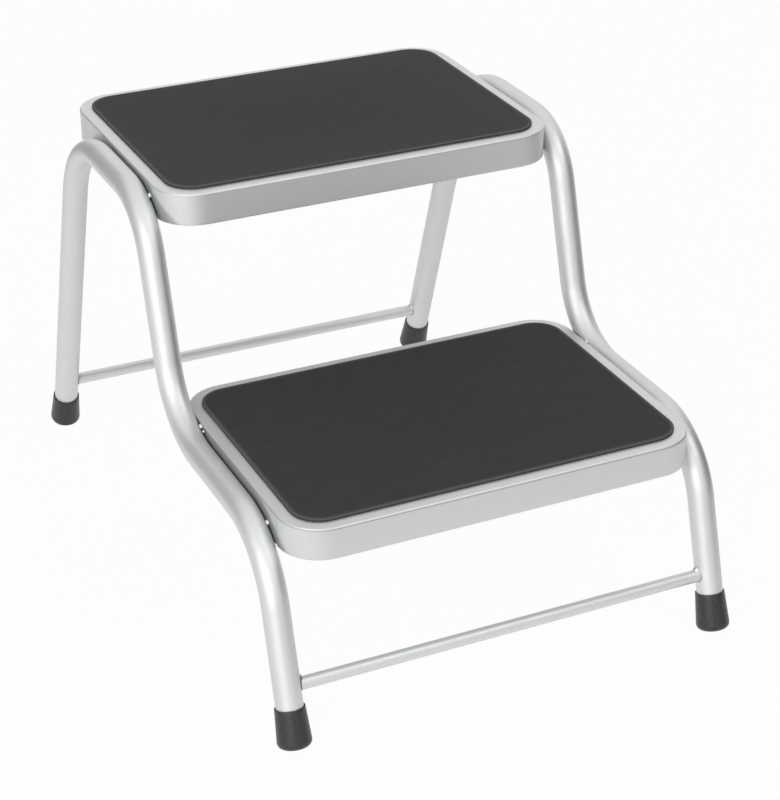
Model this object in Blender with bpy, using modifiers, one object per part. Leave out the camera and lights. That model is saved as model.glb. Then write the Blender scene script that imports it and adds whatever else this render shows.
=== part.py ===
"""Double step stool: two bent side tubes carry two pressed steel treads with rubber mats.

Metres, +Z up, +X to the right of someone facing the stool, whose front is towards -Y.
The origin is on the floor, midway between the front and the rear feet.
"""

import math

import bmesh
import bpy
import numpy as np
from mathutils import Matrix, Vector

# Treads, pressed from steel sheet
TREAD_WIDTH = 0.404
TREAD_DEPTH = 0.286
TREAD_SKIRT = 0.031
TREAD_SHEET = 0.0012
TREAD_CORNER_RADIUS = 0.040
TREAD_EDGE_RADIUS = 0.0025
LOWER_DECK_HEIGHT = 0.200
STEP_RISE = 0.1975

# Rubber mats, bonded on the decks
MAT_THICKNESS = 0.0023
MAT_EDGE_RADIUS = 0.0010
BARE_RIM = 0.012

# Side tubes; an inset is measured from the near tread edge to the corner that the bend rounds
TUBE_DIAMETER = 0.025
TUBE_WALL = 0.0012
LOWER_RUN_BELOW_DECK = 0.0158
UPPER_RUN_BELOW_DECK = 0.0105
REAR_BEND_RADIUS = 0.102
REAR_BEND_INSET = 0.065
UPPER_BEND_RADIUS = 0.068
UPPER_BEND_INSET = 0.027
LOWER_BEND_RADIUS = 0.083
LOWER_BEND_INSET = 0.034
FRONT_BEND_RADIUS = 0.083
FRONT_BEND_INSET = 0.034
FRONT_FOOT_REACH = 0.021
REAR_FOOT_REACH = 0.068

# Crossbars between the legs, measured along the leg from the foot's rim to the bar's axis
BAR_DIAMETER = 0.012
FRONT_BAR_ABOVE_FOOT = 0.018
REAR_BAR_ABOVE_FOOT = 0.0215

# Rubber feet and the steel washers in them
FOOT_HEIGHT = 0.037
FOOT_RIM_WALL = 0.0010
FOOT_FLARE = 0.0019
FOOT_EDGE_RADIUS = 0.005
FOOT_SOLE = 0.006
FOOT_SQUASH = 0.002
WASHER_THICKNESS = 0.0015
WASHER_HOLE = 0.008

# Welds; a bead sits where the tube has bent this far down or up from its level run
BEAD_DIAMETER = 0.0032
BEAD_LENGTH = 0.0065
BEAD_END_SHARE = 0.45
BEAD_DROP = 0.008
BEAD_RISE = 0.006
UNDER_BEAD_DROP = 0.003
BAR_FILLET = 0.0022

# Clearances between pieces that touch
SEAT_GAP = 0.0003
FOOT_GAP = 0.0004

# Facets and computing steps
TUBE_SIDES = 16
BEND_STEP = math.radians(8.0)
ROUND_SIDES = 24
BAR_SIDES = 16
CORNER_SEGMENTS = 6
EDGE_SEGMENTS = 3
BEAD_SIDES = 8
FILLET_POINTS = 20
SHARP_ANGLE = math.radians(35.0)
SEAT_HALVINGS = 40
WELD_MERGE = 0.00001

# Finishes: colour, roughness, metallic
SILVER_PAINT = ((0.62, 0.63, 0.64), 0.34, 0.75)
WELD_STEEL = ((0.70, 0.71, 0.72), 0.28, 0.85)
WASHER_STEEL = ((0.55, 0.55, 0.54), 0.35, 1.00)
MAT_RUBBER = ((0.050, 0.050, 0.052), 0.55, 0.0)
FOOT_RUBBER = ((0.060, 0.058, 0.055), 0.65, 0.0)

# Places that follow from the sizes
TUBE_RADIUS = TUBE_DIAMETER / 2
BAR_RADIUS = BAR_DIAMETER / 2
DECK_HEIGHT = {"lower": LOWER_DECK_HEIGHT, "upper": LOWER_DECK_HEIGHT + STEP_RISE}
TREAD_LINE = (FRONT_FOOT_REACH - REAR_FOOT_REACH) / 2
TREAD_FRONT = {"lower": TREAD_LINE - TREAD_DEPTH, "upper": TREAD_LINE}
TREAD_REAR = {"lower": TREAD_LINE, "upper": TREAD_LINE + TREAD_DEPTH}
TUBE_X = TREAD_WIDTH / 2 + SEAT_GAP + TUBE_RADIUS
RUN_BELOW_DECK = {"lower": LOWER_RUN_BELOW_DECK, "upper": UPPER_RUN_BELOW_DECK}
RUN_HEIGHT = {level: height - RUN_BELOW_DECK[level] for level, height in DECK_HEIGHT.items()}
FRONT_CORNER = Vector((TREAD_FRONT["lower"] + FRONT_BEND_INSET, RUN_HEIGHT["lower"]))
LOWER_CORNER = Vector((TREAD_REAR["lower"] - LOWER_BEND_INSET, RUN_HEIGHT["lower"]))
UPPER_CORNER = Vector((TREAD_FRONT["upper"] + UPPER_BEND_INSET, RUN_HEIGHT["upper"]))
REAR_CORNER = Vector((TREAD_REAR["upper"] - REAR_BEND_INSET, RUN_HEIGHT["upper"]))
FLOOR_POINT = {
    "front": Vector((TREAD_FRONT["lower"] - FRONT_FOOT_REACH, 0.0)),
    "rear": Vector((TREAD_REAR["upper"] + REAR_FOOT_REACH, 0.0)),
}
LEG_TOP = {"front": FRONT_CORNER, "rear": REAR_CORNER}
BAR_ABOVE_FOOT = {"front": FRONT_BAR_ABOVE_FOOT, "rear": REAR_BAR_ABOVE_FOOT}
FOOT_BORE = TUBE_RADIUS + FOOT_GAP
FOOT_RIM = FOOT_BORE + FOOT_RIM_WALL
FOOT_BASE = FOOT_RIM + FOOT_FLARE
BEAD_TUBE_HEIGHT = {
    ("upper", "rear"): RUN_HEIGHT["upper"] - UNDER_BEAD_DROP,
    ("upper", "front"): RUN_HEIGHT["upper"] - BEAD_DROP,
    ("lower", "rear"): RUN_HEIGHT["lower"] + BEAD_RISE,
    ("lower", "front"): RUN_HEIGHT["lower"] - BEAD_DROP,
}
UNDER_BEADS = {("upper", "rear")}
SIDES = {"left": -1, "right": 1}

for old in list(bpy.data.objects):
    bpy.data.objects.remove(old, do_unlink=True)
STOOL = bpy.data.collections.new("double_step_stool")
CUTTERS = bpy.data.collections.new("double_step_stool_cutters")
for collection in (STOOL, CUTTERS):
    bpy.context.scene.collection.children.link(collection)
BASE = bpy.data.objects.new("stool_base_point", None)
STOOL.objects.link(BASE)


def add_piece(name, mesh, finish):
    """Puts a mesh into the stool as one named piece with a material of its own."""
    mesh.name = name
    piece = bpy.data.objects.new(name, mesh)
    STOOL.objects.link(piece)
    piece.parent = BASE
    colour, roughness, metallic = finish
    material = bpy.data.materials.new(name + "_finish")
    material.use_nodes = True
    shader = material.node_tree.nodes["Principled BSDF"]
    shader.inputs["Base Color"].default_value = (*colour, 1.0)
    shader.inputs["Roughness"].default_value = roughness
    shader.inputs["Metallic"].default_value = metallic
    mesh.materials.append(material)
    mesh.shade_smooth()
    mesh.set_sharp_from_angle(angle=SHARP_ANGLE)
    return piece


def add_cutter(name, mesh):
    """Puts a mesh among the cutters, which are not pieces of the stool."""
    mesh.name = name
    cutter = bpy.data.objects.new(name, mesh)
    CUTTERS.objects.link(cutter)
    cutter.hide_render = True
    cutter.display_type = "WIRE"
    return cutter


def cut(piece, cutter):
    """Takes the cutter's volume away from a piece."""
    boolean = piece.modifiers.new("cut_" + cutter.name, "BOOLEAN")
    boolean.operation = "DIFFERENCE"
    boolean.object = cutter
    boolean.solver = "EXACT"


def curve_mesh(name, points, radius, sides, shares=None, closed=False, capped=True):
    """Mesh of a round bar along points, with its caps welded on; shares scale the radius at each point."""
    curve = bpy.data.curves.new(name + "_path", "CURVE")
    curve.dimensions = "3D"
    curve.bevel_depth = radius
    curve.bevel_resolution = sides // 2 - 2
    curve.use_fill_caps = capped and not closed
    spline = curve.splines.new("POLY")
    spline.points.add(len(points) - 1)
    for i, (knot, place) in enumerate(zip(spline.points, points)):
        knot.co = (*place, 1.0)
        knot.radius = 1.0 if shares is None else shares[i]
    spline.use_cyclic_u = closed
    guide = bpy.data.objects.new(name + "_path", curve)
    CUTTERS.objects.link(guide)
    bpy.context.view_layer.update()
    evaluated = guide.evaluated_get(bpy.context.evaluated_depsgraph_get())
    mesh = bpy.data.meshes.new_from_object(evaluated)
    mesh.transform(guide.matrix_world)
    bpy.data.objects.remove(guide, do_unlink=True)
    shape = bmesh.new()
    shape.from_mesh(mesh)
    bmesh.ops.remove_doubles(shape, verts=shape.verts, dist=WELD_MERGE)
    shape.to_mesh(mesh)
    shape.free()
    return mesh


def cylinder_mesh(radius, length, sides):
    """Cylinder about Z, centred, whose flats lie at the radius."""
    mesh = bpy.data.meshes.new("cylinder")
    shape = bmesh.new()
    corner_radius = radius / math.cos(math.pi / sides)
    bmesh.ops.create_cone(
        shape,
        cap_ends=True,
        segments=sides,
        radius1=corner_radius,
        radius2=corner_radius,
        depth=length,
    )
    shape.to_mesh(mesh)
    shape.free()
    return mesh


def turned_piece(name, profile, finish):
    """Piece turned about its own Z from (radius, height) points that run down the outer side."""
    mesh = bpy.data.meshes.new(name)
    count = len(profile)
    closed = profile[0][0] > 0.0
    edges = [(i, (i + 1) % count) for i in range(count if closed else count - 1)]
    mesh.from_pydata([(radius, 0.0, height) for radius, height in profile], edges, [])
    piece = add_piece(name, mesh, finish)
    turn = piece.modifiers.new("turn", "SCREW")
    turn.axis = "Z"
    turn.steps = ROUND_SIDES
    turn.render_steps = ROUND_SIDES
    turn.use_merge_vertices = True
    turn.merge_threshold = WELD_MERGE
    turn.use_smooth_shade = True
    return piece


def rounded_slab(name, size, corner_radius, edge_radius):
    """Block with its upright edges and its top edge rounded, on a base at z = 0."""
    height = size[2]
    mesh = bpy.data.meshes.new(name)
    shape = bmesh.new()
    bmesh.ops.create_cube(shape, size=1.0)
    bmesh.ops.scale(shape, vec=size, verts=shape.verts)
    bmesh.ops.translate(shape, vec=(0.0, 0.0, height / 2), verts=shape.verts)
    upright = [e for e in shape.edges if abs(e.verts[0].co.z - e.verts[1].co.z) > height / 2]
    bmesh.ops.bevel(
        shape,
        geom=upright,
        offset=corner_radius,
        segments=CORNER_SEGMENTS,
        profile=0.5,
        affect="EDGES",
    )
    top = [e for e in shape.edges if min(v.co.z for v in e.verts) > height / 2]
    bmesh.ops.bevel(shape, geom=top, offset=edge_radius, segments=EDGE_SEGMENTS, profile=0.5, affect="EDGES")
    shape.to_mesh(mesh)
    shape.free()
    return mesh


def rounded_path(corners):
    """Points in (y, z) along straight runs whose corners, given as (point, radius), are bent to arcs."""
    points = [corners[0][0]]
    for (before, _), (corner, radius), (after, _) in zip(corners, corners[1:], corners[2:]):
        back = (before - corner).normalized()
        ahead = (after - corner).normalized()
        half_angle = back.angle(ahead) / 2
        centre = corner + (back + ahead).normalized() * (radius / math.sin(half_angle))
        start = corner + back * (radius / math.tan(half_angle)) - centre
        sweep = math.pi - 2 * half_angle
        turn = math.copysign(sweep, back.cross(ahead))
        steps = math.ceil(sweep / BEND_STEP)
        for i in range(steps + 1):
            angle = -turn * i / steps
            points.append(centre + Matrix.Rotation(angle, 2) @ start)
    points.append(corners[-1][0])
    return points


class Leg:
    """The straight lower part of a side tube: its slope, and where its foot and its tube end lie on it."""

    def __init__(self, end):
        self.floor = FLOOR_POINT[end]
        self.up = (LEG_TOP[end] - self.floor).normalized()
        self.lean = math.atan2(self.up.x, self.up.y)
        flat_radius = FOOT_BASE - FOOT_EDGE_RADIUS
        tilt = abs(self.lean)
        heel_drop = flat_radius * math.sin(tilt) + FOOT_EDGE_RADIUS * (1.0 - math.cos(tilt))
        self.base = (heel_drop - FOOT_SQUASH) / math.cos(tilt)
        self.washer = self.base + FOOT_SOLE + SEAT_GAP
        self.tube_end = self.washer + WASHER_THICKNESS + SEAT_GAP
        self.bar = self.base + FOOT_HEIGHT + BAR_ABOVE_FOOT[end]

    def at(self, distance):
        """Point in (y, z) on the leg's axis, at a distance from the floor along it."""
        return self.floor + self.up * distance

    def frame(self, x, point):
        """Placing matrix at a point, with Z up along the leg."""
        return Matrix.Translation((x, point.x, point.y)) @ Matrix.Rotation(-self.lean, 4, "X")


LEGS = {end: Leg(end) for end in FLOOR_POINT}
TUBE_PATH = rounded_path(
    [
        (LEGS["rear"].at(LEGS["rear"].tube_end), 0.0),
        (REAR_CORNER, REAR_BEND_RADIUS),
        (UPPER_CORNER, UPPER_BEND_RADIUS),
        (LOWER_CORNER, LOWER_BEND_RADIUS),
        (FRONT_CORNER, FRONT_BEND_RADIUS),
        (LEGS["front"].at(LEGS["front"].tube_end), 0.0),
    ]
)


def build_side_tube(side):
    """One bent tube, open at both ends inside the feet."""
    x = SIDES[side] * TUBE_X
    points = [(x, place.x, place.y) for place in TUBE_PATH]
    name = side + "_side_tube"
    tube = add_piece(name, curve_mesh(name, points, TUBE_RADIUS, TUBE_SIDES, capped=False), SILVER_PAINT)
    wall = tube.modifiers.new("wall", "SOLIDIFY")
    wall.thickness = TUBE_WALL
    wall.offset = -1.0
    wall.use_even_offset = True


def build_tread(level):
    """Pressed tray, open below, with its mat on top."""
    centre_y = (TREAD_FRONT[level] + TREAD_REAR[level]) / 2
    deck = DECK_HEIGHT[level]
    name = level + "_tread_pan"
    mesh = rounded_slab(name, (TREAD_WIDTH, TREAD_DEPTH, TREAD_SKIRT), TREAD_CORNER_RADIUS, TREAD_EDGE_RADIUS)
    shape = bmesh.new()
    shape.from_mesh(mesh)
    floor = min(shape.faces, key=lambda face: face.calc_center_median().z)
    bmesh.ops.delete(shape, geom=[floor], context="FACES_ONLY")
    shape.to_mesh(mesh)
    shape.free()
    pan = add_piece(name, mesh, SILVER_PAINT)
    pan.location = (0.0, centre_y, deck - TREAD_SKIRT)
    sheet = pan.modifiers.new("sheet", "SOLIDIFY")
    sheet.thickness = TREAD_SHEET
    sheet.offset = -1.0
    sheet.use_even_offset = True

    mat_name = level + "_tread_mat"
    mat_size = (TREAD_WIDTH - 2 * BARE_RIM, TREAD_DEPTH - 2 * BARE_RIM, MAT_THICKNESS)
    mat_mesh = rounded_slab(mat_name, mat_size, TREAD_CORNER_RADIUS - BARE_RIM, MAT_EDGE_RADIUS)
    mat = add_piece(mat_name, mat_mesh, MAT_RUBBER)
    mat.location = (0.0, centre_y, deck + SEAT_GAP)


def build_crossbar(end):
    """Round bar whose ends are coped to the legs, with a fillet weld round each end."""
    leg = LEGS[end]
    place = leg.at(leg.bar)
    along_x = Matrix.Translation((0.0, place.x, place.y)) @ Matrix.Rotation(math.pi / 2, 4, "Y")
    bar_mesh = cylinder_mesh(BAR_RADIUS * math.cos(math.pi / BAR_SIDES), 2 * TUBE_X, BAR_SIDES)
    bar = add_piece(end + "_crossbar", bar_mesh, SILVER_PAINT)
    bar.matrix_local = along_x
    bar_room = add_cutter(end + "_bar_room", cylinder_mesh(BAR_RADIUS + SEAT_GAP, 3 * TUBE_X, ROUND_SIDES))
    bar_room.matrix_world = along_x
    for side, sign in SIDES.items():
        room_mesh = cylinder_mesh(TUBE_RADIUS + SEAT_GAP, 4 * BAR_DIAMETER, ROUND_SIDES)
        leg_room = add_cutter(f"{end}_{side}_leg_room", room_mesh)
        leg_room.matrix_world = leg.frame(sign * TUBE_X, place)
        cut(bar, leg_room)
        weld = build_bar_weld(end, side, leg, place)
        cut(weld, leg_room)
        cut(weld, bar_room)


def build_bar_weld(end, side, leg, place):
    """Round cord along the line where bar and leg meet; bar and leg are then cut from it."""
    sign = SIDES[side]
    ring = BAR_RADIUS + SEAT_GAP
    tube = TUBE_RADIUS + SEAT_GAP
    frame = leg.frame(sign * TUBE_X, place)
    points = []
    for i in range(FILLET_POINTS):
        angle = 2 * math.pi * i / FILLET_POINTS
        across = ring * math.sin(angle)
        inward = math.sqrt(tube**2 - across**2)
        points.append(frame @ Vector((-sign * inward, across, ring * math.cos(angle))))
    name = f"{end}_bar_{side}_weld"
    return add_piece(name, curve_mesh(name, points, BAR_FILLET, BEAD_SIDES, closed=True), WELD_STEEL)


def bead_seat(level, place, away):
    """Point in the groove, a bead's room away from the tube and from the tread's side or rounded edge."""
    room = BEAD_DIAMETER / 2 + SEAT_GAP
    edge_x = TREAD_WIDTH / 2 - TREAD_EDGE_RADIUS
    edge_z = DECK_HEIGHT[level] - TREAD_EDGE_RADIUS
    low = 0.0
    high = TUBE_RADIUS + room
    for _ in range(SEAT_HALVINGS):
        lift = (low + high) / 2
        x = TUBE_X - math.sqrt((TUBE_RADIUS + room) ** 2 - lift**2)
        y, z = place + lift * away
        to_edge = math.hypot(x - edge_x, max(z - edge_z, 0.0))
        if to_edge < TREAD_EDGE_RADIUS + room:
            low = lift
        else:
            high = lift
    return x, y, z


def build_tread_weld(level, end, side):
    """Bead in the groove over or under the line where tube and skirt touch, following the tube."""
    path = np.array(TUBE_PATH)
    reach = np.concatenate([[0.0], np.cumsum(np.linalg.norm(np.diff(path, axis=0), axis=1))])
    top = int(np.argmax(path[:, 1]))
    height = BEAD_TUBE_HEIGHT[level, end]
    if (level, end) == ("upper", "rear"):
        middle = np.interp(height, path[: top + 1, 1], reach[: top + 1])
    else:
        middle = np.interp(-height, -path[top:, 1], reach[top:])
    side_of_tube = -1.0 if (level, end) in UNDER_BEADS else 1.0
    shares = [BEAD_END_SHARE, 1.0, 1.0, BEAD_END_SHARE]
    points = []
    for distance in middle + BEAD_LENGTH * np.array([-0.5, -0.25, 0.25, 0.5]):
        place = np.array([np.interp(distance, reach, path[:, i]) for i in range(2)])
        ahead = np.array([np.interp(distance + BEAD_LENGTH / 4, reach, path[:, i]) for i in range(2)])
        y_step, z_step = (ahead - place) / np.linalg.norm(ahead - place)
        x, y, z = bead_seat(level, place, side_of_tube * np.array([z_step, -y_step]))
        points.append((SIDES[side] * x, y, z))
    name = f"{level}_{side}_{end}_weld"
    add_piece(name, curve_mesh(name, points, BEAD_DIAMETER / 2, BEAD_SIDES, shares=shares), WELD_STEEL)


def foot_profile():
    """Ferrule outline: bore floor, bore, rim, tapered side, rounded lower edge, sole."""
    outline = [(0.0, FOOT_SOLE), (FOOT_BORE, FOOT_SOLE), (FOOT_BORE, FOOT_HEIGHT), (FOOT_RIM, FOOT_HEIGHT)]
    for i in range(EDGE_SEGMENTS + 1):
        angle = math.pi / 2 * i / EDGE_SEGMENTS
        radius = FOOT_BASE - FOOT_EDGE_RADIUS * (1.0 - math.cos(angle))
        outline.append((radius, FOOT_EDGE_RADIUS * (1.0 - math.sin(angle))))
    outline.append((0.0, 0.0))
    return outline


def washer_profile():
    """Flat ring that fits the bore of a foot."""
    hole = WASHER_HOLE / 2
    rim = FOOT_BORE - FOOT_GAP
    return [(hole, 0.0), (hole, WASHER_THICKNESS), (rim, WASHER_THICKNESS), (rim, 0.0)]


def build_foot(end, side, floor):
    """Rubber ferrule on the leg's axis, squashed flat on the floor, with its washer inside."""
    leg = LEGS[end]
    x = SIDES[side] * TUBE_X
    foot = turned_piece(f"{end}_{side}_foot", foot_profile(), FOOT_RUBBER)
    foot.matrix_local = leg.frame(x, leg.at(leg.base))
    cut(foot, floor)
    washer = turned_piece(f"{end}_{side}_foot_washer", washer_profile(), WASHER_STEEL)
    washer.matrix_local = leg.frame(x, leg.at(leg.washer))


def floor_cutter():
    """Block under the floor, wider than the stool."""
    mesh = bpy.data.meshes.new("floor")
    shape = bmesh.new()
    bmesh.ops.create_cube(shape, size=2 * (FLOOR_POINT["rear"].x + TREAD_WIDTH))
    lowest = min(v.co.z for v in shape.verts)
    bmesh.ops.translate(shape, vec=(0.0, 0.0, lowest), verts=shape.verts)
    shape.to_mesh(mesh)
    shape.free()
    return add_cutter("floor", mesh)


FLOOR = floor_cutter()
for level in DECK_HEIGHT:
    build_tread(level)
for end in FLOOR_POINT:
    build_crossbar(end)
for side in SIDES:
    build_side_tube(side)
    for end in FLOOR_POINT:
        build_foot(end, side, FLOOR)
        for level in DECK_HEIGHT:
            build_tread_weld(level, end, side)
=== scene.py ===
import math

import bmesh
import bpy
import numpy as np
from mathutils import Matrix, Vector


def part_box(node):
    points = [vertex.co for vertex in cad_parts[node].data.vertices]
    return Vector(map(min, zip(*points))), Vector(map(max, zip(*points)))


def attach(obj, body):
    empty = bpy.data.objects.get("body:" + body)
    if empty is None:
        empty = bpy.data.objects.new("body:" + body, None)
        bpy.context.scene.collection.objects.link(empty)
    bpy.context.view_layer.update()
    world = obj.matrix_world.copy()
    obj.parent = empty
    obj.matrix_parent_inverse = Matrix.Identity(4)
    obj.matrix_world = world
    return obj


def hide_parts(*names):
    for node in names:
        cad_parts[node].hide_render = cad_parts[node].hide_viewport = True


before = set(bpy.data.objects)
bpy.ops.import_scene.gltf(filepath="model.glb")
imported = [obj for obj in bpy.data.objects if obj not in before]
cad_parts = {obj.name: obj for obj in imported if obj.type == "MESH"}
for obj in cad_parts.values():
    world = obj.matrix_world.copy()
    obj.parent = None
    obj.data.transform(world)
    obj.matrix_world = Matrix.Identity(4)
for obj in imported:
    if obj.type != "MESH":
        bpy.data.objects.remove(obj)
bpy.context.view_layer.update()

# Side tubes. Each is one length of round steel tube, bent four times in one upright plane, with its open
# ends in the rubber feet. They carry everything, and wear a satin silver coat that was sprayed on after
# the welding. Painted shade darkens the narrow groove beside the treads.
SIDES = {"left": -1, "right": 1}
TUBE_WALL = 0.0012
TUBE_END_ABOVE_FLOOR = 0.010
LOWER_RUN_BELOW_DECK = 0.0158
UPPER_RUN_BELOW_DECK = 0.0105
FRONT_FOOT_REACH = 0.021
REAR_FOOT_REACH = 0.068
FRONT_BEND_INSET = 0.034
LOWER_BEND_INSET = 0.034
UPPER_BEND_INSET = 0.027
REAR_BEND_INSET = 0.065
FRONT_BEND_RADIUS = 0.083
LOWER_BEND_RADIUS = 0.083
UPPER_BEND_RADIUS = 0.068
REAR_BEND_RADIUS = 0.102
BEND_FLATTENING = 0.025
BEND_STEPS = 28
TUBE_SIDES = 64
GROOVE_DARK = 0.0007
TREAD_CORNER_RADIUS = 0.040

tube_low, tube_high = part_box("right_side_tube")
lower_tread_low, lower_tread_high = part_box("lower_tread_pan")
upper_tread_low, upper_tread_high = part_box("upper_tread_pan")
tube_radius = (tube_high.x - tube_low.x) / 2
tube_x = (tube_high.x + tube_low.x) / 2
lower_run = lower_tread_high.z - LOWER_RUN_BELOW_DECK
upper_run = upper_tread_high.z - UPPER_RUN_BELOW_DECK
front_corner = np.array([lower_tread_low.y + FRONT_BEND_INSET, lower_run])
lower_corner = np.array([lower_tread_high.y - LOWER_BEND_INSET, lower_run])
upper_corner = np.array([upper_tread_low.y + UPPER_BEND_INSET, upper_run])
rear_corner = np.array([upper_tread_high.y - REAR_BEND_INSET, upper_run])
leg_floor = {
    "front": np.array([lower_tread_low.y - FRONT_FOOT_REACH, 0.0]),
    "rear": np.array([upper_tread_high.y + REAR_FOOT_REACH, 0.0]),
}


def unit(vector):
    """The vector divided by its length."""
    return vector / np.linalg.norm(vector)


leg_up = {"front": unit(front_corner - leg_floor["front"]), "rear": unit(rear_corner - leg_floor["rear"])}
leg_end = {end: leg_floor[end] + TUBE_END_ABOVE_FLOOR * leg_up[end] for end in leg_floor}


def bent_line(corners, radii, steps):
    """Line in (y, z) through the corners, where all but the first and the last are bent to a radius.

    A bend's centre lies on the corner's bisector, radius / sin(half the corner's angle) away from it.
    Its points are the centre plus radius * (cos, sin) of evenly spaced angles between the two straights.
    Returns the points, the line's unit direction at each, and the depth into a bend: 0, up to 1, down to 0.
    """
    points = [corners[:1]]
    headings = [unit(corners[1] - corners[0])[None]]
    depths = [np.zeros(1)]
    share = np.linspace(0.0, 1.0, steps)
    for before, corner, after, radius in zip(corners, corners[1:], corners[2:], radii):
        back = unit(before - corner)
        ahead = unit(after - corner)
        half_angle = np.arccos(back @ ahead) / 2
        turn = np.sign(back[0] * ahead[1] - back[1] * ahead[0])
        centre = corner + unit(back + ahead) * radius / np.sin(half_angle)
        start = corner + back * radius / np.tan(half_angle) - centre
        angle = np.arctan2(start[1], start[0]) - turn * (np.pi - 2 * half_angle) * share
        outward = np.stack([np.cos(angle), np.sin(angle)], axis=1)
        points.append(centre + radius * outward)
        headings.append(turn * np.stack([outward[:, 1], -outward[:, 0]], axis=1))
        depths.append(np.sin(np.pi * share))
    points.append(corners[-1:])
    headings.append(unit(corners[-1] - corners[-2])[None])
    depths.append(np.zeros(1))
    return np.concatenate(points), np.concatenate(headings), np.concatenate(depths)


def tube_rings(x, points, headings, radius, squeeze):
    """Rings about a line that lies in the upright plane at x.

    A ring's point is radius * cos(angle) away from the plane, and radius * squeeze * sin(angle) along
    the line's own normal in the plane, so a squeeze below 1 makes the ring oval.
    """
    angle = np.linspace(0.0, 2 * np.pi, TUBE_SIDES, endpoint=False)
    normals = np.stack([-headings[:, 1], headings[:, 0]], axis=1)
    rise = radius * squeeze[:, None] * np.sin(angle)
    grid = np.empty((len(points), TUBE_SIDES, 3))
    grid[:, :, 0] = x + radius * np.cos(angle)
    grid[:, :, 1:] = points[:, None] + rise[:, :, None] * normals[:, None]
    return grid


MERGE_DISTANCE = 0.00001
SHARP_ANGLE = math.radians(40.0)


def surface_piece(name, grid, finish, rows_close=False, mark=None):
    """Piece whose faces join the neighbouring points of a grid of rows and columns.

    Each row closes on itself, and the last row closes on the first where rows_close is set. A row whose
    points all fall together is a pole, and is merged to one point. Faces are turned outwards at the end.
    The mark is a value from 0 to 1 for each point, which the finish can show.
    """
    rows, columns = grid.shape[:2]
    index = np.arange(rows * columns).reshape(rows, columns)
    if rows_close:
        index = np.concatenate([index, index[:1]])
    index = np.concatenate([index, index[:, :1]], axis=1)
    quads = np.stack([index[:-1, :-1], index[:-1, 1:], index[1:, 1:], index[1:, :-1]], axis=-1)
    mesh = bpy.data.meshes.new(name)
    mesh.from_pydata(grid.reshape(-1, 3), [], quads.reshape(-1, 4))
    if mark is not None:
        mesh.attributes.new("mark", "FLOAT", "POINT").data.foreach_set("value", mark.ravel())
    shape = bmesh.new()
    shape.from_mesh(mesh)
    bmesh.ops.remove_doubles(shape, verts=shape.verts, dist=MERGE_DISTANCE)
    bmesh.ops.recalc_face_normals(shape, faces=shape.faces)
    shape.to_mesh(mesh)
    shape.free()
    mesh.shade_smooth()
    mesh.set_sharp_from_angle(angle=SHARP_ANGLE)
    mesh.materials.append(finish)
    piece = bpy.data.objects.new(name, mesh)
    bpy.context.scene.collection.objects.link(piece)
    return piece


def new_finish(name, roughness, metallic):
    """Material and its shader, with the roughness that it has where no pattern changes it."""
    finish = bpy.data.materials.new(name)
    finish.use_nodes = True
    shader = finish.node_tree.nodes["Principled BSDF"]
    shader.inputs["Roughness"].default_value = roughness
    shader.inputs["Metallic"].default_value = metallic
    return finish, shader


PATTERN_LOW = 0.3
PATTERN_HIGH = 0.7


def speckle(finish, cells_per_metre, detail):
    """Noise on the piece's own coordinates in metres, between about the pattern's low and high value."""
    nodes = finish.node_tree.nodes
    place = nodes.new("ShaderNodeTexCoord")
    noise = nodes.new("ShaderNodeTexNoise")
    noise.inputs["Scale"].default_value = cells_per_metre
    noise.inputs["Detail"].default_value = detail
    finish.node_tree.links.new(place.outputs["Object"], noise.inputs["Vector"])
    return noise.outputs["Fac"]


def tint(finish, shader, pattern, dark, pale):
    """Base colour that goes from dark to pale with the pattern."""
    ramp = finish.node_tree.nodes.new("ShaderNodeValToRGB")
    ramp.color_ramp.elements[0].position = PATTERN_LOW
    ramp.color_ramp.elements[0].color = (*dark, 1.0)
    ramp.color_ramp.elements[1].position = PATTERN_HIGH
    ramp.color_ramp.elements[1].color = (*pale, 1.0)
    finish.node_tree.links.new(pattern, ramp.inputs["Fac"])
    finish.node_tree.links.new(ramp.outputs["Color"], shader.inputs["Base Color"])


def stain(finish, shader, colour):
    """Base colour that goes over to this one where the mesh's mark goes from 0 to 1."""
    tree = finish.node_tree
    mark = tree.nodes.new("ShaderNodeAttribute")
    mark.attribute_name = "mark"
    blend = tree.nodes.new("ShaderNodeMixRGB")
    blend.inputs["Color2"].default_value = (*colour, 1.0)
    tree.links.new(mark.outputs["Fac"], blend.inputs["Fac"])
    tree.links.new(shader.inputs["Base Color"].links[0].from_socket, blend.inputs["Color1"])
    tree.links.new(blend.outputs["Color"], shader.inputs["Base Color"])


def gloss(finish, shader, pattern, smooth, rough):
    """Roughness that goes from smooth to rough with the pattern."""
    scale = finish.node_tree.nodes.new("ShaderNodeMapRange")
    scale.inputs["From Min"].default_value = PATTERN_LOW
    scale.inputs["From Max"].default_value = PATTERN_HIGH
    scale.inputs["To Min"].default_value = smooth
    scale.inputs["To Max"].default_value = rough
    finish.node_tree.links.new(pattern, scale.inputs["Value"])
    finish.node_tree.links.new(scale.outputs["Result"], shader.inputs["Roughness"])


def relief(finish, shader, pattern, height, strength):
    """Fine relief of that height in metres, which only tilts the shading."""
    bump = finish.node_tree.nodes.new("ShaderNodeBump")
    bump.inputs["Distance"].default_value = height
    bump.inputs["Strength"].default_value = strength
    finish.node_tree.links.new(pattern, bump.inputs["Height"])
    finish.node_tree.links.new(bump.outputs["Normal"], shader.inputs["Normal"])


SILVER_DARK = (0.740, 0.752, 0.750)
SILVER_PALE = (0.820, 0.834, 0.832)
# Dark grey that the mark paints as shade in grooves, seams, folds and insides.
PAINTED_SHADE_GREY = (0.035, 0.034, 0.033)

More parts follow.
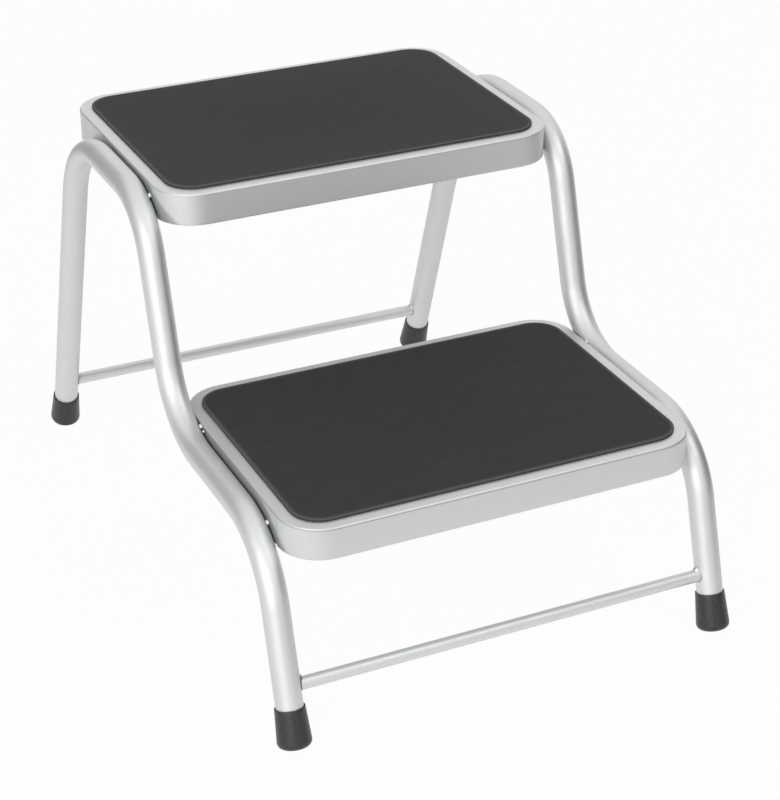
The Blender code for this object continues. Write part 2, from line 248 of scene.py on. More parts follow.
silver_coat, silver_shader = new_finish("silver_coat", roughness=0.48, metallic=0.65)
silver_flakes = speckle(silver_coat, cells_per_metre=1800.0, detail=2.0)
silver_cloud = speckle(silver_coat, cells_per_metre=90.0, detail=3.0)
silver_peel = speckle(silver_coat, cells_per_metre=420.0, detail=2.0)
tint(silver_coat, silver_shader, silver_flakes, SILVER_DARK, SILVER_PALE)
# The mark paints shade: the coat's colour goes over to the dark grey.
stain(silver_coat, silver_shader, PAINTED_SHADE_GREY)
gloss(silver_coat, silver_shader, silver_cloud, smooth=0.44, rough=0.52)
relief(silver_coat, silver_shader, silver_peel, height=0.0002, strength=0.06)

tube_line, tube_headings, tube_depths = bent_line(
    np.array([leg_end["rear"], rear_corner, upper_corner, lower_corner, front_corner, leg_end["front"]]),
    [REAR_BEND_RADIUS, UPPER_BEND_RADIUS, LOWER_BEND_RADIUS, FRONT_BEND_RADIUS],
    BEND_STEPS,
)
tube_squeeze = 1.0 - BEND_FLATTENING * tube_depths


def groove_shade(gap):
    """Painted shade of a groove: 1 where the gap is that narrow or narrower, and (that narrow gap / gap)^2
    where wider.
    """
    return np.clip(GROOVE_DARK / gap, 0.0, 1.0) ** 2


def beside_tread(grid, low, high):
    """Painted shade on points of a tube beside a tread's side, whose corners draw back as a quarter circle.
    """
    into_corner = np.abs(grid[:, :, 1] - (low.y + high.y) / 2) - (high.y - low.y) / 2 + TREAD_CORNER_RADIUS
    into_corner = np.clip(into_corner, 0.0, TREAD_CORNER_RADIUS)
    drawn_back = TREAD_CORNER_RADIUS - np.sqrt(TREAD_CORNER_RADIUS**2 - into_corner**2)
    level = (grid[:, :, 2] > low.z) & (grid[:, :, 2] < high.z)
    return level * groove_shade(np.abs(grid[:, :, 0]) - high.x + drawn_back)


for side, sign in SIDES.items():
    outer = tube_rings(sign * tube_x, tube_line, tube_headings, tube_radius, tube_squeeze)
    inner = tube_rings(sign * tube_x, tube_line, tube_headings, tube_radius - TUBE_WALL, tube_squeeze)
    rings = np.concatenate([outer, inner[::-1]])
    # Painted shade in the narrow grooves beside the treads.
    mark = beside_tread(rings, lower_tread_low, lower_tread_high)
    mark += beside_tread(rings, upper_tread_low, upper_tread_high)
    side_tube = surface_piece(side + "_bent_tube", rings, silver_coat, rows_close=True, mark=mark)
    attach(side_tube, "root")
    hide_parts(side + "_side_tube")

# Braces. A round steel bar joins the two front legs and another the two rear legs, just above the feet.
# Their ends are coped to fit round the legs, welded, and coated with the rest of the frame.
BRACE_SIDES = 48
brace_place = {}
brace_radius = {}
brace_across = {}
for end in leg_up:
    brace_low, brace_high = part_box(end + "_crossbar")
    brace_place[end] = np.array([brace_low.y + brace_high.y, brace_low.z + brace_high.z]) / 2
    brace_radius[end] = (brace_high.z - brace_low.z) / 2
    brace_across[end] = np.array([leg_up[end][1], -leg_up[end][0]])


def coped_bar(place, radius, across):
    """Bar along x between the legs: at each angle round it the end lies on the leg's skin.

    That is sqrt(tube radius^2 - offset^2) short of the leg's axis, where the offset is the point's own
    distance across the leg. The first and the last row are the poles in the middle of the two ends.
    """
    angle = np.linspace(0.0, 2 * np.pi, BRACE_SIDES, endpoint=False)
    ring = radius * np.stack([np.cos(angle), np.sin(angle)], axis=1)
    reach = tube_x - np.sqrt(tube_radius**2 - (ring @ across) ** 2)
    grid = np.empty((4, BRACE_SIDES, 3))
    grid[:, :, 0] = [-reach.min() + 0 * reach, -reach, reach, reach.min() + 0 * reach]
    grid[:, :, 1:] = place
    grid[1:3, :, 1:] += ring
    return grid


for end in leg_up:
    brace = surface_piece(
        end + "_brace", coped_bar(brace_place[end], brace_radius[end], brace_across[end]), silver_coat
    )
    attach(brace, "root")
    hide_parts(end + "_crossbar")

# Brace welds. A tack of weld metal, rippled by the weld pool, sits on top of each end of a brace. It thins
# out to a narrow seam round the rest of the joint, where a painted shadow darkens it: fully on the left
# and partly on the right.
BRACE_WELD_LEG = 0.0031
BRACE_TACK_FALL = 4
BRACE_SEAM_SHARE = 0.23
BRACE_SEAM_SHADOW = {"left": 1.0, "right": 0.60}
BRACE_WELD_BULGE = 0.12
BRACE_WELD_RIPPLES = 15
BRACE_WELD_RIPPLE = 0.07
BRACE_WELD_STEPS = 120
BRACE_WELD_FACE = 9

WELD_DARK = (0.78, 0.79, 0.79)
WELD_PALE = (0.86, 0.87, 0.87)

weld_coat, weld_shader = new_finish("coated_weld", roughness=0.28, metallic=0.75)
weld_flakes = speckle(weld_coat, cells_per_metre=1500.0, detail=2.0)
weld_cloud = speckle(weld_coat, cells_per_metre=500.0, detail=2.0)
weld_pits = speckle(weld_coat, cells_per_metre=900.0, detail=3.0)
tint(weld_coat, weld_shader, weld_flakes, WELD_DARK, WELD_PALE)
# The mark paints the seam's shadow in the dark grey.
stain(weld_coat, weld_shader, PAINTED_SHADE_GREY)
gloss(weld_coat, weld_shader, weld_cloud, smooth=0.22, rough=0.34)
relief(weld_coat, weld_shader, weld_pits, height=0.0003, strength=0.15)


def brace_fillet(sign, place, radius, up, across):
    """Fillet round a brace's end: at each angle its section is a loop of a full face and a hidden corner.

    The face runs from the brace's skin, one leg length in from the side tube, to the side tube's skin, one
    leg length out from the brace, and bulges by sin(pi * share). The leg length ripples with the angle, and
    falls from the tack on top to the seam with a power of cos(angle). The mark is 1 - that power.
    """
    angle = np.linspace(0.0, 2 * np.pi, BRACE_WELD_STEPS, endpoint=False)[:, None]
    share = np.linspace(0.0, 1.0, BRACE_WELD_FACE)[None]
    tack = np.clip(np.cos(angle), 0.0, 1.0) ** BRACE_TACK_FALL
    ripple = 1.0 + BRACE_WELD_RIPPLE * np.sin(BRACE_WELD_RIPPLES * angle)
    leg = BRACE_WELD_LEG * ripple * (BRACE_SEAM_SHARE + (1.0 - BRACE_SEAM_SHARE) * tack)
    corner_inward = np.sqrt(tube_radius**2 - (radius * np.sin(angle)) ** 2)
    toe_inward = np.sqrt(tube_radius**2 - ((radius + leg) * np.sin(angle)) ** 2)
    swell = BRACE_WELD_BULGE * leg * np.sin(np.pi * share)
    face_inward = (1.0 - share) * (corner_inward + leg) + share * toe_inward + swell
    face_radius = radius + share * leg + swell
    inward = np.concatenate([face_inward, corner_inward], axis=1)
    outward = np.concatenate([face_radius, radius + 0 * angle], axis=1)
    grid = np.empty((*inward.shape, 3))
    grid[:, :, 0] = sign * (tube_x - inward)
    along = (outward * np.cos(angle))[:, :, None] * up
    sideways = (outward * np.sin(angle))[:, :, None] * across
    grid[:, :, 1:] = place + along + sideways
    return grid, 1.0 - tack + 0.0 * inward


for end in leg_up:
    for side, sign in SIDES.items():
        fillet, mark = brace_fillet(
            sign, brace_place[end], brace_radius[end], leg_up[end], brace_across[end]
        )
        # Painted shadow in the seam's gap, darker on the left than on the right.
        mark = BRACE_SEAM_SHADOW[side] * mark
        brace_weld = surface_piece(
            f"{end}_{side}_brace_weld", fillet, weld_coat, rows_close=True, mark=mark
        )
        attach(brace_weld, "root")
        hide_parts(f"{end}_bar_{side}_weld")

# Treads. Two trays pressed from steel sheet, open below, with rounded corners and a narrow rounded edge.
# They sit between the side tubes, are welded to them, and wear the same silver coat. Painted shade darkens
# it along the fold below the edge, beside the tubes, inside, and in the same grooves.
TREAD_SHEET = 0.0012
TREAD_EDGE_RADIUS = 0.0015
CORNER_STEPS = 24
EDGE_STEPS = 12
LIP_STEPS = 7
SIDE_STEPS = 60
SKIRT_STEPS = 28
EDGE_SHADE_FALL = 2
SHADE_BESIDE_TUBE = 0.36
SHADE_BESIDE_TUBE_REACH = 0.0165
SHADE_BESIDE_TUBE_FADE = 0.0030
FOLD_SHADE = {"lower": 0.40, "upper": 0.15}
FOLD_FALL = 12
INSIDE_SHADE = {"lower": 0.10, "upper": 0.60}
tread_box = {"lower": (lower_tread_low, lower_tread_high), "upper": (upper_tread_low, upper_tread_high)}


def rounded_rings(low, high, corner_radius, insets, heights):
    """Rings of a rectangle with round corners, each drawn in by its inset and set at its height.

    A ring's corner is an arc of corner radius - inset about a fixed centre, so the rings stay parallel, and
    the centre moves on to the next corner along the straight. An inset of None is a pole in the middle.
    """
    middle = np.array([low.x + high.x, low.y + high.y]) / 2
    half = np.array([high.x - low.x, high.y - low.y]) / 2 - corner_radius
    quarter = np.arange(5) * np.pi / 2
    centres = half * np.sign([np.cos(quarter + np.pi / 4), np.sin(quarter + np.pi / 4)]).T
    turned_by = np.concatenate([np.linspace(0.0, 1.0, CORNER_STEPS), np.ones(SIDE_STEPS)]) * np.pi / 2
    along_side = np.linspace(0.0, 1.0, SIDE_STEPS + 2)[1:-1]
    moved_by = np.concatenate([np.zeros(CORNER_STEPS), along_side])[:, None]
    angle = (quarter[:4, None] + turned_by).ravel()
    arc = np.stack([np.cos(angle), np.sin(angle)], axis=1)
    corner = (centres[:4, None] * (1.0 - moved_by) + centres[1:, None] * moved_by).reshape(-1, 2)
    inset = np.array([corner_radius if value is None else value for value in insets])
    spread = np.array([0.0 if value is None else 1.0 for value in insets])
    grid = np.empty((len(insets), len(angle), 3))
    grid[:, :, :2] = middle + spread[:, None, None] * corner + (corner_radius - inset)[:, None, None] * arc
    grid[:, :, 2] = np.array(heights)[:, None]
    return grid


def tray_profile(depth, fold_shade, inside_shade):
    """Rows of a tray from the middle of its deck over the edge, down the skirt and back inside.

    The deck's edge is a quarter circle, the sheet's lower rim a half circle as thick as the sheet, and the
    inner edge a quarter circle about the outer one's centre. Heights count from the deck. Sideways is 1 on
    the outer skirt, falls with a power of sin(angle) over the edge, and is 0 on the deck and inside.
    Painted shade is the fold's own times a higher power of sin(angle) over the edge, the inside's own
    there, and 0 on the deck and the skirt. Returns insets, heights, sideways and painted shade.
    """
    edge = np.linspace(0.0, np.pi / 2, EDGE_STEPS)
    lip = np.linspace(0.0, np.pi, LIP_STEPS)
    inner_radius = TREAD_EDGE_RADIUS - TREAD_SHEET
    skirt = np.linspace(-TREAD_EDGE_RADIUS, TREAD_SHEET / 2 - depth, SKIRT_STEPS)[1:-1]
    insets = [None, *TREAD_EDGE_RADIUS * (1.0 - np.sin(edge)), *0.0 * skirt]
    heights = [0.0, *TREAD_EDGE_RADIUS * (np.cos(edge) - 1.0), *skirt]
    insets += [*TREAD_SHEET / 2 * (1.0 - np.cos(lip))]
    heights += [*TREAD_SHEET / 2 * (1.0 - np.sin(lip)) - depth]
    insets += [*TREAD_EDGE_RADIUS - inner_radius * np.sin(edge[::-1]), None]
    heights += [*inner_radius * np.cos(edge[::-1]) - TREAD_EDGE_RADIUS, -TREAD_SHEET]
    outer_rows = EDGE_STEPS + len(skirt) + LIP_STEPS // 2 + 1
    sideways = np.zeros(len(insets))
    sideways[1 : EDGE_STEPS + 1] = np.sin(edge) ** EDGE_SHADE_FALL
    sideways[EDGE_STEPS + 1 : outer_rows] = 1.0
    painted_shade = np.zeros(len(insets))
    painted_shade[1 : EDGE_STEPS + 1] = fold_shade * np.sin(edge) ** FOLD_FALL
    painted_shade[outer_rows:] = inside_shade
    return insets, heights, sideways, painted_shade


def beside_tube(grid):
    """Painted shade on points of a tread beside the tubes: the gap is the way along x to the tube's skin.

    The skin stands sqrt(tube radius^2 - distance^2) in from the tube's line, at the point's distance from
    the line in (y, z), which is the least of its distances from the line's straight pieces. Within a reach
    of the line the skirt gets painted shade of at least a set share, which fades evenly to none at the
    end of that reach.
    """
    step = np.diff(tube_line, axis=0)
    away = grid[:, :, None, 1:] - tube_line[:-1]
    share = np.clip((away * step).sum(axis=-1) / (step**2).sum(axis=-1), 0.0, 1.0)
    distance = np.linalg.norm(away - share[:, :, :, None] * step, axis=-1).min(axis=-1)
    inward = np.sqrt(np.clip(tube_radius**2 - distance**2, 0.0, None))
    # Painted shade on the skirt beside the tube, on top of the groove's painted shade.
    shade_beside = SHADE_BESIDE_TUBE * np.clip((SHADE_BESIDE_TUBE_REACH - distance) / SHADE_BESIDE_TUBE_FADE, 0.0, 1.0)
    groove = (distance < tube_radius) * groove_shade(tube_x - inward - np.abs(grid[:, :, 0]))
    return np.maximum(groove, shade_beside)


for level, (tread_low, tread_high) in tread_box.items():
    tray_insets, tray_heights, sideways, painted_shade = tray_profile(
        tread_high.z - tread_low.z, FOLD_SHADE[level], INSIDE_SHADE[level]
    )
    rings = rounded_rings(
        tread_low, tread_high, TREAD_CORNER_RADIUS, tray_insets, tread_high.z + np.array(tray_heights)
    )
    # Painted shade: grooves and skirt beside the tubes, the fold below the edge, and the inside.
    mark = np.maximum(sideways[:, None] * beside_tube(rings), painted_shade[:, None])
    tread = surface_piece(level + "_tread", rings, silver_coat, mark=mark)
    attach(tread, "root")
    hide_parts(level + "_tread_pan")

# Tread welds. Short drops of weld metal in the groove between tube and tread, where the tube bends away
# from the tread: over the tube, but under it at the rear of the upper tread. On the lower tread a smaller
# tack follows each one towards the front. They are rippled, rounded, and coated with the frame.
BEAD_RADIUS = 0.0018
BEAD_LENGTH = 0.0048
BEAD_RIPPLES = 2.5
BEAD_RIPPLE = 0.10
BEAD_STEPS = 33
BEAD_SIDES = 24
TACK_SHARE = 0.6
TACK_AFTER = {"front": 0.0205, "rear": 0.0075}
tube_reach = np.concatenate([[0.0], np.cumsum(np.linalg.norm(np.diff(tube_line, axis=0), axis=1))])


def on_tube(distance):
    """Point of the tube's line that far from its rear end, with the line's direction and normal there.

    Point and direction lie evenly between those of the line's neighbouring points.
    """
    point = np.array([np.interp(distance, tube_reach, tube_line[:, i]) for i in range(2)])
    heading = unit(np.array([np.interp(distance, tube_reach, tube_headings[:, i]) for i in range(2)]))
    return point, heading, np.array([-heading[1], heading[0]])


def weld_bead(x, distance, lift, size):
    """Drop along the tube, at that lift off its line and at a share of the full size.

    Its radius goes with sqrt(1 - share^4), where share runs from -1 to 1 along it, rippled by a cosine.
    """
    share = np.linspace(-1.0, 1.0, BEAD_STEPS)
    angle = np.linspace(0.0, 2 * np.pi, BEAD_SIDES, endpoint=False)
    point, heading, normal = on_tube(distance)
    ripple = 1.0 - BEAD_RIPPLE * (1.0 + np.cos(2 * np.pi * BEAD_RIPPLES * share)) / 2
    radius = size * BEAD_RADIUS * np.sqrt(1.0 - share**4) * ripple
    along = size * BEAD_LENGTH / 2 * share[:, None, None] * heading
    grid = np.empty((BEAD_STEPS, BEAD_SIDES, 3))
    grid[:, :, 0] = x + radius[:, None] * np.cos(angle)
    grid[:, :, 1:] = point + along + (lift + radius[:, None] * np.sin(angle))[:, :, None] * normal
    return grid


for level in tread_box:
    for side in SIDES:
        for end in leg_up:
            weld_node = f"{level}_{side}_{end}_weld"
            weld_low, weld_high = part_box(weld_node)
            weld_place = np.array(weld_low + weld_high) / 2
            nearest = np.argmin(np.linalg.norm(tube_line - weld_place[1:], axis=1))
            to_weld = weld_place[1:] - tube_line[nearest]
            weld_distance = tube_reach[nearest] + to_weld @ tube_headings[nearest]
            point, _, normal = on_tube(weld_distance)
            weld_lift = (weld_place[1:] - point) @ normal
            grid = weld_bead(weld_place[0], weld_distance, weld_lift, 1.0)
            bead = surface_piece(f"{level}_{side}_{end}_bead", grid, weld_coat)
            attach(bead, "root")
            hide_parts(weld_node)
            if level == "lower":
                grid = weld_bead(weld_place[0], weld_distance + TACK_AFTER[end], weld_lift, TACK_SHARE)
                tack = surface_piece(f"{level}_{side}_{end}_tack", grid, weld_coat)
                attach(tack, "root")

# Mats. Charcoal rubber sheet with a dull, finely grained top and a rounded edge. A smooth border along the
# edge carries a painted highlight, and the top pales towards it, most of all on the upper mat. One is
# bonded on each deck inside a bare silver rim, so that a shoe grips.
MAT_CORNER_RADIUS = 0.028
MAT_EDGE_RADIUS = 0.0006
MAT_BORDER = 0.0045
MAT_BORDER_FALL = 0.0002
MAT_BORDER_STEPS = 10
MAT_TOP_PALING = {"lower": 0.04, "upper": 0.13}
MAT_STAND = 0.0003
MAT_FOOT_WIDTH = 0.0002

MAT_DARK = (0.0560, 0.0560, 0.0565)
MAT_PALE = (0.0630, 0.0630, 0.0635)
# Grey that the mark paints as a highlight along the mat's edge.
MAT_HIGHLIGHT_GREY = (0.170, 0.170, 0.172)
MAT_SHEEN = 0.16

mat_rubber, mat_shader = new_finish("charcoal_mat", roughness=0.76, metallic=0.0)
mat_shader.inputs["Specular IOR Level"].default_value = MAT_SHEEN
mat_cloud = speckle(mat_rubber, cells_per_metre=60.0, detail=2.0)
mat_pores = speckle(mat_rubber, cells_per_metre=900.0, detail=2.0)
mat_grain = speckle(mat_rubber, cells_per_metre=1300.0, detail=2.0)
tint(mat_rubber, mat_shader, mat_cloud, MAT_DARK, MAT_PALE)
# The mark paints a highlight along the edge and pales the top towards it.
stain(mat_rubber, mat_shader, MAT_HIGHLIGHT_GREY)
gloss(mat_rubber, mat_shader, mat_pores, smooth=0.72, rough=0.80)
relief(mat_rubber, mat_shader, mat_grain, height=0.0004, strength=0.12)


def mat_profile(thickness, top_paling):
    """Insets, heights and paleness, from the middle of the sole up the side, over the edge and inwards.

    The edge is a quarter circle. The border rises by its fall times (1 - (1 - share)^2) and its paleness, a
    painted highlight, goes from 1 to that of the top's paling, where share runs from 0 at the edge to 1 at
    the grained top. From there the paleness falls evenly to 0 in the middle of the mat.
    """
    edge = np.linspace(0.0, np.pi / 2, EDGE_STEPS)
    share = np.linspace(0.0, 1.0, MAT_BORDER_STEPS)[1:]
    brow = thickness - MAT_BORDER_FALL
    border = MAT_EDGE_RADIUS + (MAT_BORDER - MAT_EDGE_RADIUS) * share
    insets = [None, MAT_FOOT_WIDTH, 0.0, *MAT_EDGE_RADIUS * (1.0 - np.cos(edge)), *border, None]
    heights = [0.0, 0.0, MAT_FOOT_WIDTH, *brow - MAT_EDGE_RADIUS * (1.0 - np.sin(edge))]
    heights += [*brow + MAT_BORDER_FALL * (1.0 - (1.0 - share) ** 2), thickness]
    paleness = [0.0, 0.0, 0.0, *np.sin(edge), *1.0 - (1.0 - top_paling) * share, 0.0]
    return insets, heights, np.array(paleness)


for level in tread_box:
    mat_low, mat_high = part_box(level + "_tread_mat")
    mat_base = mat_low.z - MAT_STAND
    mat_insets, mat_heights, paleness = mat_profile(mat_high.z - mat_base, MAT_TOP_PALING[level])
    rings = rounded_rings(
        mat_low, mat_high, MAT_CORNER_RADIUS, mat_insets, mat_base + np.array(mat_heights)
    )
    mark = paleness[:, None] + 0.0 * rings[:, :, 0]
    mat = surface_piece(level + "_mat", rings, mat_rubber, mark=mark)
    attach(mat, "root")
    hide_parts(level + "_tread_mat")

# Foot washers. A plain steel ring lies on the floor of each foot's bore, so that the tube's edge doesn't
# cut the rubber. It is punched from sheet and zinc plated, and the foot hides it.
WASHER_HOLE_RADIUS = 0.004
WASHER_EDGE = 0.0002
TURNED_SIDES = 64

ZINC_DARK = (0.50, 0.50, 0.49)
ZINC_PALE = (0.60, 0.60, 0.59)

zinc_plate, zinc_shader = new_finish("zinc_plate", roughness=0.35, metallic=1.0)
zinc_spangle = speckle(zinc_plate, cells_per_metre=600.0, detail=2.0)
zinc_cloud = speckle(zinc_plate, cells_per_metre=300.0, detail=3.0)
tint(zinc_plate, zinc_shader, zinc_spangle, ZINC_DARK, ZINC_PALE)
gloss(zinc_plate, zinc_shader, zinc_cloud, smooth=0.30, rough=0.42)


def turned(x, place, up, radii, heights):
    """Rings about a leg's axis: each has its radius, and its height along the axis from a place on it."""
    angle = np.linspace(0.0, 2 * np.pi, TURNED_SIDES, endpoint=False)
    across = np.array([up[1], -up[0]])
    radii = np.array(radii)[:, None]
    grid = np.empty((len(radii), TURNED_SIDES, 3))
    grid[:, :, 0] = x + radii * np.cos(angle)
    sideways = (radii * np.sin(angle))[:, :, None] * across
    grid[:, :, 1:] = place + np.array(heights)[:, None, None] * up + sideways
    return grid


for end, up in leg_up.items():
    for side, sign in SIDES.items():
        washer_node = f"{end}_{side}_foot_washer"
        washer_low, washer_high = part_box(washer_node)
        washer_rim = (washer_high.x - washer_low.x) / 2
        washer_place = np.array([washer_low.y + washer_high.y, washer_low.z + washer_high.z]) / 2
        half = ((washer_high.z - washer_low.z) - 2 * washer_rim * abs(up[0])) / up[1] / 2
        chamfer = half - WASHER_EDGE
        washer_radii = [WASHER_HOLE_RADIUS, WASHER_HOLE_RADIUS + WASHER_EDGE]
        washer_radii += [washer_rim - WASHER_EDGE, washer_rim]
        washer_radii += washer_radii[::-1]
        washer_heights = [chamfer, half, half, chamfer, -chamfer, -half, -half, -chamfer]
        rings = turned(sign * tube_x, washer_place, up, washer_radii, washer_heights)
        washer = surface_piece(f"{end}_{side}_ring", rings, zinc_plate, rows_close=True)
        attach(washer, "root")
        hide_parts(washer_node)

# Feet. Moulded rubber ferrules, pushed on the tube ends. They widen towards the floor, have a thin rim
# round the tube and a rounded lower edge, and stand squashed flat on the floor because the legs lean.
FOOT_HEIGHT = 0.037
FOOT_FLARE = 0.0019
FOOT_RIM_WALL = 0.0010
FOOT_SOLE = 0.006
FOOT_EDGE_RADIUS = 0.0056
FOOT_SIDE_STEPS = 12

FOOT_DARK = (0.030, 0.028, 0.026)
FOOT_PALE = (0.042, 0.040, 0.038)

foot_rubber, foot_shader = new_finish("foot_rubber", roughness=0.35, metallic=0.0)
foot_cloud = speckle(foot_rubber, cells_per_metre=220.0, detail=4.0)
foot_scuffs = speckle(foot_rubber, cells_per_metre=400.0, detail=2.0)
foot_grain = speckle(foot_rubber, cells_per_metre=1600.0, detail=2.0)
tint(foot_rubber, foot_shader, foot_cloud, FOOT_DARK, FOOT_PALE)
gloss(foot_rubber, foot_shader, foot_scuffs, smooth=0.28, rough=0.42)
relief(foot_rubber, foot_shader, foot_grain, height=0.0003, strength=0.2)


def foot_profile(base_radius):
    """Radii and heights from the middle of the bore's floor to the middle of the sole.

    They go up the bore, over a half round rim, down the flared side and round a quarter circle.
    """
    rim_radius = base_radius - FOOT_FLARE
    bore = rim_radius - FOOT_RIM_WALL
    rim = np.linspace(np.pi, 0.0, LIP_STEPS)
    edge = np.linspace(0.0, np.pi / 2, EDGE_STEPS)
    rim_height = FOOT_HEIGHT - FOOT_RIM_WALL / 2
    radii = [0.0, bore, *(bore + rim_radius + FOOT_RIM_WALL * np.cos(rim)) / 2]
    heights = [FOOT_SOLE, FOOT_SOLE, *rim_height + FOOT_RIM_WALL / 2 * np.sin(rim)]
    radii += [*np.linspace(rim_radius, base_radius, FOOT_SIDE_STEPS)[1:-1]]
    heights += [*np.linspace(rim_height, FOOT_EDGE_RADIUS, FOOT_SIDE_STEPS)[1:-1]]
    radii += [*base_radius - FOOT_EDGE_RADIUS * (1.0 - np.cos(edge)), 0.0]
    heights += [*FOOT_EDGE_RADIUS * (1.0 - np.sin(edge)), 0.0]
    return radii, heights


for end, up in leg_up.items():
    for side, sign in SIDES.items():
        foot_node = f"{end}_{side}_foot"
        foot_low, foot_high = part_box(foot_node)
        base_radius = (foot_high.x - foot_low.x) / 2
        rim_rise = (base_radius - FOOT_FLARE) * abs(up[0])
        base_height = (foot_high.z - rim_rise) / up[1] - FOOT_HEIGHT
        rings = turned(sign * tube_x, leg_floor[end] + base_height * up, up, *foot_profile(base_radius))
        rings[:, :, 2] = np.maximum(rings[:, :, 2], 0.0)
        foot = surface_piece(f"{end}_{side}_ferrule", rings, foot_rubber)
        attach(foot, "root")
        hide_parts(foot_node)

# Studio. A wide pale floor and a white room, which the camera and the metal both see as plain white, with
# a broad soft box at the front left and a weak lamp high at the front right. Outside the picture a black
# flag on the right and grey cards in front and at the rear left let the round metal shade off.
WHITE = (1.0, 1.0, 1.0, 1.0)
FLOOR_REACH = 8.0
FLOOR_PAPER = (0.90, 0.90, 0.90, 1.0)
FLOOR_WHITENESS = 0.97
KEY_PLACE = (-2.0, -2.0, 1.1)
KEY_SIZE = 2.7
KEY_POWER = 36.0
TOP_PLACE = (0.9, -1.3, 2.3)
TOP_SIZE = 1.0
TOP_POWER = 7.0
ROOM_LIGHT = 0.35
RIGHT_FLAG = ((1.1, -1.6, 0.0), (1.1, 0.0, 0.0), (1.1, 0.0, 1.3), (1.1, -1.6, 1.3))
RIGHT_FLAG_SHADE = 0.03
FRONT_CARD = ((-1.5, -3.0, 0.002), (2.0, -3.0, 0.002), (2.0, -0.72, 0.002), (-1.5, -0.84, 0.002))
FRONT_CARD_SHADE = 0.40
REAR_CARD = ((-1.8, 0.3, 0.0), (-0.3, 2.0, 0.0), (-0.3, 2.0, 1.7), (-1.8, 0.3, 1.7))
REAR_CARD_SHADE = 0.65
STOOL_MIDDLE = Vector((0.0, -0.05, 0.2))


def seen_white(tree):
    """1 for rays of the camera and of mirror-like or clear surfaces, 0 for light that falls on things."""
    path = tree.nodes.new("ShaderNodeLightPath")
    glossy = tree.nodes.new("ShaderNodeMath")
    glossy.operation = "MAXIMUM"
    seen = tree.nodes.new("ShaderNodeMath")
    seen.operation = "MAXIMUM"
    tree.links.new(path.outputs["Is Glossy Ray"], glossy.inputs[0])
    tree.links.new(path.outputs["Is Transmission Ray"], glossy.inputs[1])
    tree.links.new(path.outputs["Is Camera Ray"], seen.inputs[0])
    tree.links.new(glossy.outputs["Value"], seen.inputs[1])
    return seen.outputs["Value"]


floor_mesh = bpy.data.meshes.new("floor")
floor_corners = FLOOR_REACH * np.array([[-1, -1, 0], [1, -1, 0], [1, 1, 0], [-1, 1, 0]])
floor_mesh.from_pydata(floor_corners, [], [(0, 1, 2, 3)])
floor = bpy.data.objects.new("floor", floor_mesh)
bpy.context.scene.collection.objects.link(floor)
floor_paper = bpy.data.materials.new("floor_paper")
floor_paper.use_nodes = True
floor_tree = floor_paper.node_tree
floor_tree.nodes.remove(floor_tree.nodes["Principled BSDF"])
paper = floor_tree.nodes.new("ShaderNodeBsdfDiffuse")
paper.inputs["Color"].default_value = FLOOR_PAPER
glow = floor_tree.nodes.new("ShaderNodeEmission")
glow.inputs["Strength"].default_value = 1.0
glow_share = floor_tree.nodes.new("ShaderNodeMath")
glow_share.operation = "MULTIPLY"
glow_share.inputs[1].default_value = FLOOR_WHITENESS
floor_mix = floor_tree.nodes.new("ShaderNodeMixShader")
floor_tree.links.new(seen_white(floor_tree), glow_share.inputs[0])
floor_tree.links.new(glow_share.outputs["Value"], floor_mix.inputs["Fac"])
floor_tree.links.new(paper.outputs["BSDF"], floor_mix.inputs[1])
floor_tree.links.new(glow.outputs["Emission"], floor_mix.inputs[2])
floor_tree.links.new(floor_mix.outputs["Shader"], floor_tree.nodes["Material Output"].inputs["Surface"])
floor_mesh.materials.append(floor_paper)

room = bpy.data.worlds.new("white_room")
room.use_nodes = True
bpy.context.scene.world = room
room_tree = room.node_tree
room_light = room_tree.nodes["Background"]
room_light.inputs["Color"].default_value = WHITE
room_light.inputs["Strength"].default_value = ROOM_LIGHT
room_white = room_tree.nodes.new("ShaderNodeBackground")
room_white.inputs["Color"].default_value = WHITE
room_white.inputs["Strength"].default_value = 1.0
room_mix = room_tree.nodes.new("ShaderNodeMixShader")
room_tree.links.new(seen_white(room_tree), room_mix.inputs["Fac"])
room_tree.links.new(room_light.outputs["Background"], room_mix.inputs[1])
room_tree.links.new(room_white.outputs["Background"], room_mix.inputs[2])
room_tree.links.new(room_mix.outputs["Shader"], room_tree.nodes["World Output"].inputs["Surface"])


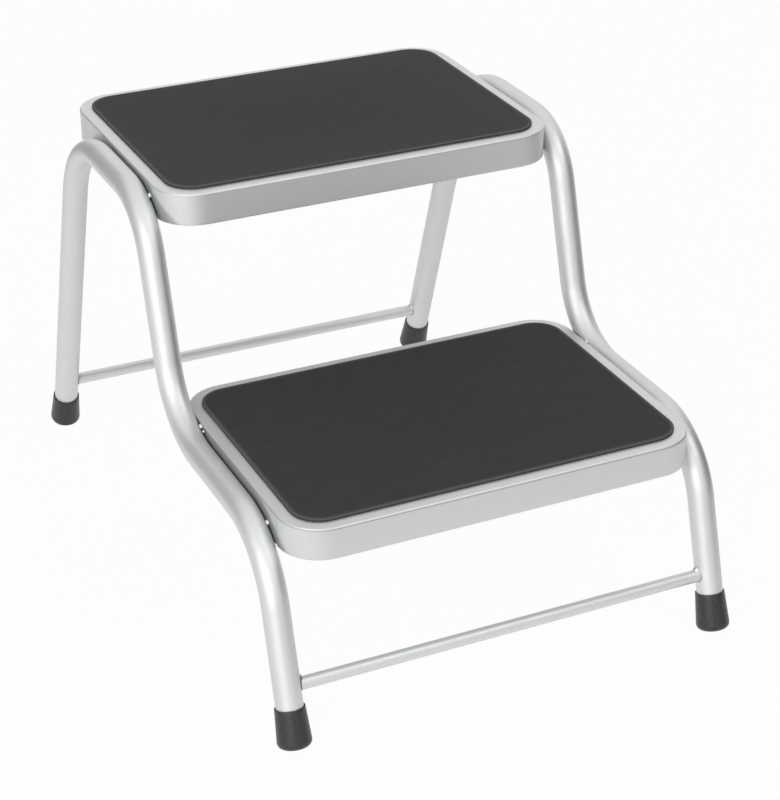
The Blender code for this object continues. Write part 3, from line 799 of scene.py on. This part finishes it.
def soft_lamp(name, place, size, power):
    """Square area lamp that faces the stool."""
    lamp = bpy.data.lights.new(name, "AREA")
    lamp.size = size
    lamp.energy = power
    stand = bpy.data.objects.new(name, lamp)
    stand.location = place
    stand.rotation_mode = "QUATERNION"
    stand.rotation_quaternion = (STOOL_MIDDLE - Vector(place)).to_track_quat("-Z", "Y")
    bpy.context.scene.collection.objects.link(stand)


def studio_card(name, corners, shade):
    """Flat card with these four corners, which the lamps and the metal see and the camera doesn't."""
    mesh = bpy.data.meshes.new(name)
    mesh.from_pydata(corners, [], [(0, 1, 2, 3)])
    card = bpy.data.objects.new(name, mesh)
    bpy.context.scene.collection.objects.link(card)
    card.visible_camera = False
    cloth = bpy.data.materials.new(name + "_cloth")
    cloth.use_nodes = True
    shader = cloth.node_tree.nodes["Principled BSDF"]
    shader.inputs["Base Color"].default_value = (shade, shade, shade, 1.0)
    shader.inputs["Roughness"].default_value = 1.0
    mesh.materials.append(cloth)


studio_card("right_flag", RIGHT_FLAG, RIGHT_FLAG_SHADE)
studio_card("front_card", FRONT_CARD, FRONT_CARD_SHADE)
studio_card("rear_card", REAR_CARD, REAR_CARD_SHADE)
soft_lamp("key_lamp", KEY_PLACE, KEY_SIZE, KEY_POWER)
soft_lamp("top_lamp", TOP_PLACE, TOP_SIZE, TOP_POWER)
bpy.context.scene.view_settings.view_transform = "Standard"

# Camera. A long lens from the stool's front left, looking down on both treads, for a frame of 780 by 800.
CAMERA_AZIMUTH = math.radians(-25.018)
CAMERA_ELEVATION = math.radians(28.249)
CAMERA_ROLL = math.radians(-0.115)
CAMERA_DISTANCE = 2.073
CAMERA_LENS = 97.87
CAMERA_SENSOR = 36.0
LOOK_POINT = Vector((-0.01487, -0.09899, 0.18662))

camera = bpy.data.cameras.new("photo_camera")
camera.lens = CAMERA_LENS
camera.sensor_width = CAMERA_SENSOR
viewer = bpy.data.objects.new("photo_camera", camera)
turn = Matrix.Rotation(CAMERA_AZIMUTH, 4, "Z") @ Matrix.Rotation(math.pi / 2 - CAMERA_ELEVATION, 4, "X")
turn = turn @ Matrix.Rotation(CAMERA_ROLL, 4, "Z")
step_back = Matrix.Translation((0.0, 0.0, CAMERA_DISTANCE))
viewer.matrix_world = Matrix.Translation(LOOK_POINT) @ turn @ step_back
bpy.context.scene.collection.objects.link(viewer)
bpy.context.scene.camera = viewer
